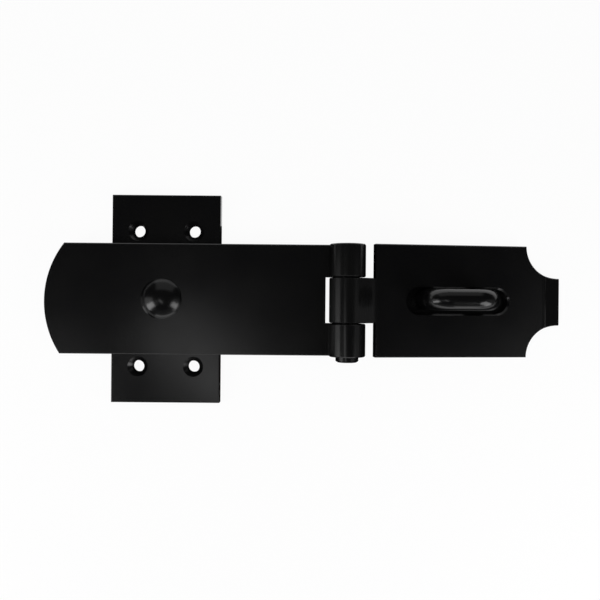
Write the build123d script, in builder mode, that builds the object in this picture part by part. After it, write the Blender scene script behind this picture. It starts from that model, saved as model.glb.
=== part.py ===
from build123d import *
from math import cos, radians, sin, sqrt, tan
import os

# Swivel hasp and staple, in millimetres.
# The origin is the middle of the pivot plate's four screws, on the surface that it is screwed to.
# X runs along the bar toward the hasp, Y runs across it, and Z points out of that surface.

# Strip that the bar and the leaf are cut and rolled from
strip_thick = 5.0
edge_round = 0.5
edge_break = 0.4

# Pivot plate
plate_width = 49.6
plate_height = 95.0
screw_spacing_x = 25.4
screw_spacing_y = 62.0
screw_hole_radius = 2.7
screw_head_radius = 4.6

# Pivot rivet, a little nearer the free end than the middle of the plate
rivet_x = -1.1
shank_radius = 5.0
turning_gap = 0.05
dome_radius = 9.15
dome_height = 4.3
dome_rim = 0.5
tail_depth = 1.2

# Swivel bar
bar_width = 50.0
bar_tip = 54.0
bar_end_arc = 43.3
bar_end_offset = -1.3
notch_edge = 72.9

# Hinge
hinge_x = 82.5
pin_radius = 3.1
pin_fit = 0.02
middle_length = 20.0
knuckle_gap = 0.4
curl_gap_angle = 13.0
pin_head_radius = 5.1
pin_head_height = 2.5
pin_head_rim = 1.9
pin_head_face = 4.2
pin_end_height = 0.4
pin_end_face = 2.7

# Hasp leaf, drawn flat from the hinge axis and then hung at its rest angle
rest_angle = 7.0
leaf_width = 50.5
leaf_start = 12.1
leaf_top = 3.3
tongue_angle = 28.0
tongue_bend = 10.0
slot_start = 26.8
slot_end = 73.4
slot_width = 11.2
slot_break = 0.8
tongue_overlap = 2.0
tab_end = 96.9
tab_line = 90.6
tab_angle = 15.0
tab_bend = 4.0
crease_radius = 0.9
crease_depth = 0.3
corner_notch = 14.6

# Staple and its plate, standing a little to one side in the leaf's slot
rod_radius = 4.6
staple_middle = 130.3
staple_side = 0.7
staple_width = 33.0
staple_top = 36.0
staple_bend = 6.5
staple_plate_length = 52.6
staple_plate_width = 44.0
staple_plate_thick = 2.0
staple_screw_x = 40.0
staple_screw_y = 30.0
staple_screw_radius = 2.5
staple_head_radius = 4.4

# Heights and radii that follow from the dimensions above, then lengths that reach past every
# piece and a distance within which two edges count as the same
bar_bottom = strip_thick
bar_top = 2 * strip_thick
knuckle_radius = pin_radius + strip_thick
tail_radius = shank_radius + tail_depth
axis_height = bar_bottom + knuckle_radius
knuckle_slot = middle_length + 2 * knuckle_gap
far = 200.0
deep = 30.0
near = 0.1

os.makedirs("parts", exist_ok=True)


# Pivot plate, screwed to the surface, with the rivet's tail sunk in its back
with BuildPart() as pivot_plate:
    with BuildSketch(Plane.XY) as plate_outline:
        Rectangle(plate_width, plate_height)
    extrude(amount=strip_thick)
    fillet(pivot_plate.faces().sort_by(Axis.Z)[-1].edges(), edge_round)
    with Locations(Plane.XY.offset(strip_thick)):
        with GridLocations(screw_spacing_x, screw_spacing_y, 2, 2):
            CounterSinkHole(screw_hole_radius, screw_head_radius, counter_sink_angle=90)
    with Locations(Plane.XY.rotated((180, 0, 0))):
        with Locations((rivet_x, 0)):
            CounterSinkHole(shank_radius, tail_radius, counter_sink_angle=90)
pivot_plate.part.label = "pivot_plate"


# Pivot rivet, one turned piece: dome, short rim, shank and the tail spread into the plate
dome_sphere = (dome_radius**2 + dome_height**2) / (2 * dome_height)
dome_base = bar_top + dome_rim
dome_middle = dome_sphere - dome_height
with BuildPart() as pivot_rivet:
    with BuildSketch(Plane.XZ) as rivet_half:
        with BuildLine():
            half_way = dome_radius / 2
            half_height = dome_base - dome_middle + sqrt(dome_sphere**2 - half_way**2)
            ThreePointArc(
                (rivet_x, dome_base + dome_height),
                (rivet_x + half_way, half_height),
                (rivet_x + dome_radius, dome_base),
            )
            Polyline(
                (rivet_x + dome_radius, dome_base),
                (rivet_x + dome_radius, bar_top),
                (rivet_x + shank_radius, bar_top),
                (rivet_x + shank_radius, tail_depth),
                (rivet_x + tail_radius, 0),
                (rivet_x, 0),
                (rivet_x, dome_base + dome_height),
            )
        make_face()
    revolve(axis=Axis((rivet_x, 0, 0), (0, 0, 1)))
pivot_rivet.part.label = "pivot_rivet"


# Swivel bar, drawn from the side as one strip whose end is rolled up round the pin,
# then trimmed to its plan outline with the arc end and the notch for the middle knuckle
curl_end = radians(180 + curl_gap_angle)
curl_reach = 2 * knuckle_radius
end_centre_x = bar_end_arc - bar_tip
upper_corner = end_centre_x - sqrt(bar_end_arc**2 - (bar_width / 2 - bar_end_offset) ** 2)
lower_corner = end_centre_x - sqrt(bar_end_arc**2 - (bar_width / 2 + bar_end_offset) ** 2)
with BuildPart() as swivel_bar:
    with BuildSketch(Plane.XZ) as bar_side:
        with Locations((hinge_x, axis_height)):
            Circle(knuckle_radius)
            Circle(pin_radius + pin_fit, mode=Mode.SUBTRACT)
        with BuildLine():
            Polyline(
                (hinge_x, axis_height),
                (hinge_x + curl_reach * cos(curl_end), axis_height + curl_reach * sin(curl_end)),
                (hinge_x - curl_reach, 0),
                (hinge_x, 0),
                close=True,
            )
        make_face(mode=Mode.SUBTRACT)
        with Locations((hinge_x, bar_bottom)):
            Rectangle(far, strip_thick - pin_fit, align=(Align.MAX, Align.MIN))
    extrude(amount=bar_width / 2, both=True)
    with BuildSketch(Plane.XY) as bar_outline:
        with BuildLine():
            ThreePointArc(
                (upper_corner, bar_width / 2),
                (-bar_tip, bar_end_offset),
                (lower_corner, -bar_width / 2),
            )
            Polyline(
                (lower_corner, -bar_width / 2),
                (far, -bar_width / 2),
                (far, bar_width / 2),
                (upper_corner, bar_width / 2),
            )
        make_face()
        with Locations((notch_edge, 0)):
            Rectangle(far, knuckle_slot, align=(Align.MIN, Align.CENTER), mode=Mode.SUBTRACT)
    extrude(amount=deep, mode=Mode.INTERSECT)
    rolled_edges = swivel_bar.edges().filter_by(GeomType.CIRCLE)
    rolled_edges = rolled_edges.filter_by(lambda edge: abs(edge.radius - knuckle_radius) < near)
    chamfer(rolled_edges, edge_break)
    top_face = swivel_bar.faces().filter_by(Axis.Z).sort_by(Axis.Z)[-1]
    top_edges = top_face.edges().filter_by_position(Axis.X, -bar_tip, notch_edge + near)
    chamfer(top_edges, edge_break)
    with Locations((rivet_x, 0, bar_top)):
        Hole(shank_radius + turning_gap)
swivel_bar.part.label = "swivel_bar"


# Hinge pin, headed at the lower end and lightly peened at the other
pin_top = bar_width / 2
with BuildPart() as hinge_pin:
    with BuildSketch(Plane.XY.offset(axis_height)) as pin_half:
        with BuildLine():
            Polyline(
                (hinge_x, pin_top + pin_end_height),
                (hinge_x + pin_end_face, pin_top + pin_end_height),
                (hinge_x + pin_radius, pin_top),
                (hinge_x + pin_radius, -pin_top),
                (hinge_x + pin_head_radius, -pin_top),
                (hinge_x + pin_head_radius, -pin_top - pin_head_rim),
                (hinge_x + pin_head_face, -pin_top - pin_head_height),
                (hinge_x, -pin_top - pin_head_height),
                close=True,
            )
        make_face()
    revolve(axis=Axis((hinge_x, 0, axis_height), (0, 1, 0)))
hinge_pin.part.label = "hinge_pin"


# Hasp leaf, drawn from the side in its own frame on the hinge axis: the middle knuckle,
# the tongue that comes down from its crown, the flat leaf, and the finger tab behind the crease
# that the press leaves
leaf_dir = (cos(radians(rest_angle)), 0, -sin(radians(rest_angle)))
leaf_up = (sin(radians(rest_angle)), 0, cos(radians(rest_angle)))
leaf_side_plane = Plane(origin=(hinge_x, 0, axis_height), x_dir=leaf_dir, z_dir=(0, -1, 0))
leaf_plan_plane = Plane(origin=(hinge_x, 0, axis_height), x_dir=leaf_dir, z_dir=leaf_up)
tongue = radians(tongue_angle)
tangent_x = knuckle_radius * sin(tongue)
tangent_y = knuckle_radius * cos(tongue)
bend_x = tangent_x + (tangent_y - leaf_top) / tan(tongue)
tab_rise = (tab_end + deep - tab_line) * tan(radians(tab_angle))
curl_start = radians(-curl_gap_angle)
with BuildPart() as hasp_leaf:
    with BuildSketch(leaf_side_plane) as leaf_side:
        Circle(knuckle_radius)
        Circle(pin_radius + turning_gap, mode=Mode.SUBTRACT)
        with BuildLine():
            Polyline(
                (0, 0),
                (curl_reach * cos(curl_start), curl_reach * sin(curl_start)),
                (curl_reach, curl_reach),
                (curl_reach * sin(tongue), curl_reach * cos(tongue)),
                close=True,
            )
        make_face(mode=Mode.SUBTRACT)
        with BuildLine() as strip_line:
            FilletPolyline(
                (tangent_x, tangent_y),
                (bend_x, leaf_top),
                (tab_line, leaf_top),
                (tab_end + deep, leaf_top + tab_rise),
                radius=(tongue_bend, tab_bend),
            )
            offset(amount=strip_thick - turning_gap, side=Side.RIGHT)
        make_face()
    extrude(amount=leaf_width / 2, both=True)
    with BuildSketch(leaf_plan_plane) as leaf_outline:
        Rectangle(2 * (leaf_start + tongue_overlap), middle_length)
        with Locations((leaf_start, 0)):
            Rectangle(tab_end - leaf_start, leaf_width, align=(Align.MIN, Align.CENTER))
        with Locations((tab_end, leaf_width / 2), (tab_end, -leaf_width / 2)):
            Circle(corner_notch, mode=Mode.SUBTRACT)
        with Locations(((slot_start + slot_end) / 2, 0)):
            SlotOverall(slot_end - slot_start, slot_width, mode=Mode.SUBTRACT)
    extrude(amount=deep, both=True, mode=Mode.INTERSECT)
    rolled_edges = hasp_leaf.edges().filter_by(GeomType.CIRCLE)
    rolled_edges = rolled_edges.filter_by(lambda edge: abs(edge.radius - knuckle_radius) < near)
    chamfer(rolled_edges, edge_break)
    blade_face = hasp_leaf.faces().filter_by(leaf_plan_plane).sort_by(Axis.Z)[-1]
    chamfer(blade_face.inner_wires()[0].edges(), slot_break)
    blade_face = hasp_leaf.faces().filter_by(leaf_plan_plane).sort_by(Axis.Z)[-1]
    chamfer(blade_face.outer_wire().edges(), edge_break)
    with BuildSketch(leaf_side_plane) as crease_section:
        with Locations((tab_line, leaf_top + crease_radius - crease_depth)):
            Circle(crease_radius)
    extrude(amount=leaf_width / 2, both=True, mode=Mode.SUBTRACT)
hasp_leaf.part.label = "hasp_leaf"


# Staple, one bent rod whose legs pass through its plate and end flush with the back
leg_x = staple_width / 2 - rod_radius
rod_top = staple_top - rod_radius
staple_left = staple_middle - leg_x
staple_right = staple_middle + leg_x
with BuildPart() as staple:
    with BuildLine(Plane.XZ.offset(-staple_side)) as staple_path:
        FilletPolyline(
            (staple_left, 0),
            (staple_left, rod_top),
            (staple_right, rod_top),
            (staple_right, 0),
            radius=staple_bend,
        )
    with BuildSketch(Plane.XY) as rod_section:
        with Locations((staple_left, staple_side)):
            Circle(rod_radius)
    sweep(path=staple_path.wires()[0])
staple.part.label = "staple"


# Staple plate, hidden under the leaf, with its own four screw holes
with BuildPart() as staple_plate:
    with BuildSketch(Plane.XY) as staple_plate_outline:
        with Locations((staple_middle, staple_side)):
            Rectangle(staple_plate_length, staple_plate_width)
    extrude(amount=staple_plate_thick)
    with Locations(Plane.XY.offset(staple_plate_thick)):
        with Locations((staple_middle, staple_side)):
            with GridLocations(staple_screw_x, staple_screw_y, 2, 2):
                CounterSinkHole(staple_screw_radius, staple_head_radius, counter_sink_angle=90)
        with Locations((staple_left, staple_side), (staple_right, staple_side)):
            Hole(rod_radius)
staple_plate.part.label = "staple_plate"


export_step(pivot_plate.part, "parts/pivot_plate.step")
export_step(pivot_rivet.part, "parts/pivot_rivet.step")
export_step(swivel_bar.part, "parts/swivel_bar.step")
export_step(hinge_pin.part, "parts/hinge_pin.step")
export_step(hasp_leaf.part, "parts/hasp_leaf.step")
export_step(staple.part, "parts/staple.step")
export_step(staple_plate.part, "parts/staple_plate.step")
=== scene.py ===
import math
import bpy
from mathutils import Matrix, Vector

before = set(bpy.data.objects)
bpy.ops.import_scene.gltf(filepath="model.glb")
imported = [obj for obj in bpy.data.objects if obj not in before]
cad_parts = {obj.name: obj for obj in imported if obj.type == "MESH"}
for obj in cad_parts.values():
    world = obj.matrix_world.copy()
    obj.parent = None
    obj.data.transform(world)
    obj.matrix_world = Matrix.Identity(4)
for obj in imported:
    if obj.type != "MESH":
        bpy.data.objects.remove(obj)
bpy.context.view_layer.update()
scene = bpy.context.scene


def toLinear(hexColour):  # sRGB hex to the linear values that sockets take
    channels = [int(hexColour[i:i + 2], 16) / 255 for i in (1, 3, 5)]
    return [c / 12.92 if c <= 0.04045 else ((c + 0.055) / 1.055) ** 2.4 for c in channels] + [1]


def addNode(tree, kind, settings=None, values=None, links=None):
    # settings are the node's own options, values its sockets, links other nodes' outputs into its sockets
    node = tree.nodes.new(kind)
    for name, value in (settings or {}).items():
        setattr(node, name, value)
    for name, value in (values or {}).items():
        node.inputs[name].default_value = value
    for name, output in (links or {}).items():
        tree.links.new(output, node.inputs[name])
    return node


def newMaterial(name):
    material = bpy.data.materials.new(name)
    material.use_nodes = True
    material.node_tree.nodes.clear()
    return material, material.node_tree


pureWhite = toLinear("#ffffff")

powderCoat = {
    "ior": 1.5,
    "colours": ("#070708", "#090909"),  # a shade lighter where the powder lies thin
    "colourFrom": (0.3, 0.75),          # cloud values at which the two colours stand
    "roughness": (0.19, 0.24),
    "glossFrom": (0.3, 0.7),            # cloud values at which the two roughnesses stand
    # slow changes of gloss across a face
    "cloud": {"sizeMm": 24, "detail": 3, "harshness": 0.5},
    # orange peel left as the powder flows in the oven
    "peel": {"sizeMm": 1.8, "detail": 1.5, "harshness": 0.45, "depthMm": 0.0035},
    # satin grain, drawn coarser than the real 0.1 mm so that it shows
    "grain": {"sizeMm": 0.45, "detail": 2, "harshness": 0.6, "depthMm": 0.0012},
}


def makePowderCoat(name, look):
    # baked polyester powder on steel: deep black, softly glossy, very slightly rippled
    material, tree = newMaterial(name)
    place = addNode(tree, "ShaderNodeTexCoord").outputs["Object"]
    noise = {}
    for layer in ("cloud", "peel", "grain"):
        noise[layer] = addNode(tree, "ShaderNodeTexNoise", {}, {
            "Scale": 1000 / look[layer]["sizeMm"], "Detail": look[layer]["detail"],
            "Roughness": look[layer]["harshness"]}, {"Vector": place}).outputs["Fac"]
    gloss = addNode(tree, "ShaderNodeMapRange", {}, {
        "From Min": look["glossFrom"][0], "From Max": look["glossFrom"][1],
        "To Min": look["roughness"][0], "To Max": look["roughness"][1]}, {"Value": noise["cloud"]})
    colour = addNode(tree, "ShaderNodeValToRGB", {}, {}, {"Fac": noise["cloud"]})
    for i, stop in enumerate(colour.color_ramp.elements):
        stop.position = look["colourFrom"][i]
        stop.color = toLinear(look["colours"][i])
    peelBump = addNode(tree, "ShaderNodeBump", {}, {
        "Strength": 1, "Distance": look["peel"]["depthMm"] / 1000}, {"Height": noise["peel"]})
    grainBump = addNode(tree, "ShaderNodeBump", {}, {
        "Strength": 1, "Distance": look["grain"]["depthMm"] / 1000},
        {"Height": noise["grain"], "Normal": peelBump.outputs["Normal"]})
    shader = addNode(tree, "ShaderNodeBsdfPrincipled", {}, {"IOR": look["ior"]}, {
        "Base Color": colour.outputs["Color"], "Roughness": gloss.outputs["Result"],
        "Normal": grainBump.outputs["Normal"]})
    addNode(tree, "ShaderNodeOutputMaterial", {}, {}, {"Surface": shader.outputs["BSDF"]})
    return material


blackCoat = makePowderCoat("satinBlackPowderCoat", powderCoat)
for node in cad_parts.values():
    node.data.materials.clear()
    node.data.materials.append(blackCoat)
print("powder coat done")


def whiteShare(tree, strength):  # strength for camera, glossy and transmission rays, nothing for the rest
    path = addNode(tree, "ShaderNodeLightPath")
    clearRay = path.outputs["Is Camera Ray"]
    for other in ("Is Glossy Ray", "Is Transmission Ray"):
        either = addNode(tree, "ShaderNodeMath", {"operation": "MAXIMUM"})
        tree.links.new(clearRay, either.inputs[0])
        tree.links.new(path.outputs[other], either.inputs[1])
        clearRay = either.outputs[0]
    share = addNode(tree, "ShaderNodeMath", {"operation": "MULTIPLY"})
    tree.links.new(clearRay, share.inputs[0])
    share.inputs[1].default_value = strength
    return share.outputs[0]


studioFloor = {"sizeM": 8, "dropMm": 0.1, "colour": "#f4f4f4", "white": 0.94}
bpy.ops.mesh.primitive_plane_add(size=studioFloor["sizeM"], location=(0, 0, -studioFloor["dropMm"] / 1000))
floor = bpy.context.object
floor.name = "studioFloor"
floorMaterial, tree = newMaterial("paleStudioFloor")
matt = addNode(tree, "ShaderNodeBsdfDiffuse", {}, {"Color": toLinear(studioFloor["colour"])})
white = addNode(tree, "ShaderNodeEmission", {}, {"Color": pureWhite, "Strength": 1})
floorMix = addNode(tree, "ShaderNodeMixShader", {}, {}, {"Fac": whiteShare(tree, studioFloor["white"])})
tree.links.new(matt.outputs[0], floorMix.inputs[1])
tree.links.new(white.outputs[0], floorMix.inputs[2])
addNode(tree, "ShaderNodeOutputMaterial", {}, {}, {"Surface": floorMix.outputs[0]})
floor.data.materials.append(floorMaterial)

# A black card lies on the floor along the object, out of the camera's sight, as a photographer lays one
# to keep a white floor out of a dark object's steep sides.
card = {"xMm": (-800, 900), "yMm": (-95, 34), "heightMm": -0.05, "colour": "#101010"}
bpy.ops.mesh.primitive_plane_add(size=1)
blackCard = bpy.context.object
blackCard.name = "blackCard"
blackCard.scale = [(side[1] - side[0]) / 1000 for side in (card["xMm"], card["yMm"])] + [1]
blackCard.location = (sum(card["xMm"]) / 2000, sum(card["yMm"]) / 2000, card["heightMm"] / 1000)
blackCard.visible_camera = blackCard.visible_diffuse = blackCard.visible_shadow = False
cardMaterial, tree = newMaterial("mattBlackCard")
cardPaper = addNode(tree, "ShaderNodeBsdfDiffuse", {}, {"Color": toLinear(card["colour"])})
addNode(tree, "ShaderNodeOutputMaterial", {}, {}, {"Surface": cardPaper.outputs[0]})
blackCard.data.materials.append(cardMaterial)

# A dark tent stands round the set, for reflections only: it keeps the white backdrop out of the black coat.
tent = {"sizeM": 2.6, "glow": 0.03}
bpy.ops.mesh.primitive_cube_add(size=tent["sizeM"])
darkTent = bpy.context.object
darkTent.name = "darkTent"
darkTent.visible_camera = darkTent.visible_diffuse = False
darkTent.visible_shadow = darkTent.visible_transmission = False
tentMaterial, tree = newMaterial("darkTentCloth")
tentCloth = addNode(tree, "ShaderNodeEmission", {}, {"Color": pureWhite, "Strength": tent["glow"]})
addNode(tree, "ShaderNodeOutputMaterial", {}, {}, {"Surface": tentCloth.outputs[0]})
darkTent.data.materials.append(tentMaterial)
print("floor, card and tent done")

# The side lamps make the two spots on the rivet and the staple, the overhead ones the glow along the bar,
# and the panels and strips the paler rims of what is round.
lamps = {
    "leftLamp": {"placeMm": (-234, -138, 168), "sizeMm": (110, 220), "radiance": 4.2},
    "rightLamp": {"placeMm": (322, -177, 193), "sizeMm": (150, 220), "radiance": 3.4},
    "rightLow": {"placeMm": (225, -160, 72), "sizeMm": (160, 50), "radiance": 1.1},
    "overheadLamp": {"placeMm": (-30, -90, 460), "sizeMm": (185, 60), "radiance": 1.35},
    "overheadSide": {"placeMm": (-180, -115, 430), "sizeMm": (150, 70), "radiance": 0.42},
    "backPanel": {"placeMm": (60, 260, 150), "sizeMm": (420, 220), "radiance": 0.3},
    "backStrip": {"placeMm": (60, 260, 30), "sizeMm": (420, 40), "radiance": 0.7},
    "frontPanel": {"placeMm": (60, -280, 130), "sizeMm": (420, 160), "radiance": 0.1},
    "frontStrip": {"placeMm": (45, -260, 42), "sizeMm": (340, 34), "radiance": 1.8},
    "leftWing": {"placeMm": (-250, -38, 150), "sizeMm": (120, 220), "radiance": 0.7},
    "rightWing": {"placeMm": (380, -45, 170), "sizeMm": (120, 220), "radiance": 0.17},
    # lights colours to a plain level, but leaves no mirror image
    "softFill": {"placeMm": (60, 0, 900), "sizeMm": (1600, 1600), "radiance": 0.8, "mirrored": False},
}
aimMm = (61, 0, 8)
for name, lamp in lamps.items():
    light = bpy.data.lights.new(name, "AREA")
    light.shape = "RECTANGLE"
    light.size, light.size_y = [side / 1000 for side in lamp["sizeMm"]]
    light.energy = lamp["radiance"] * math.pi * light.size * light.size_y
    lampObject = bpy.data.objects.new(name, light)
    scene.collection.objects.link(lampObject)
    lampObject.location = [c / 1000 for c in lamp["placeMm"]]
    toObject = Vector([(a - b) / 1000 for a, b in zip(aimMm, lamp["placeMm"])])
    lampObject.rotation_euler = toObject.to_track_quat("-Z", "Y").to_euler()
    lampObject.visible_camera = False
    lampObject.visible_glossy = lamp.get("mirrored", True)

world = bpy.data.worlds.new("studioRoom")
scene.world = world
world.use_nodes = True
tree = world.node_tree
tree.nodes.clear()
room = addNode(tree, "ShaderNodeBackground", {}, {"Color": pureWhite, "Strength": tent["glow"]})
backdrop = addNode(tree, "ShaderNodeBackground", {}, {"Color": pureWhite, "Strength": 1})
worldMix = addNode(tree, "ShaderNodeMixShader", {}, {}, {"Fac": whiteShare(tree, 1)})
tree.links.new(room.outputs[0], worldMix.inputs[1])
tree.links.new(backdrop.outputs[0], worldMix.inputs[2])
addNode(tree, "ShaderNodeOutputWorld", {}, {}, {"Surface": worldMix.outputs[0]})
print("lamps and world done")

cameraLook = {"placeMm": (61.4, 0, 310), "rollDeg": 0.5, "lensMm": 40, "sensorMm": 36, "seesM": (0.01, 50)}
camera = bpy.data.objects.new("camera", bpy.data.cameras.new("camera"))
scene.collection.objects.link(camera)
camera.location = [c / 1000 for c in cameraLook["placeMm"]]
camera.rotation_euler = (0, 0, math.radians(cameraLook["rollDeg"]))
camera.data.lens = cameraLook["lensMm"]
camera.data.sensor_width = cameraLook["sensorMm"]
camera.data.clip_start, camera.data.clip_end = cameraLook["seesM"]
bpy.context.scene.camera = camera
scene.view_settings.view_transform = "Standard"
print("camera done")
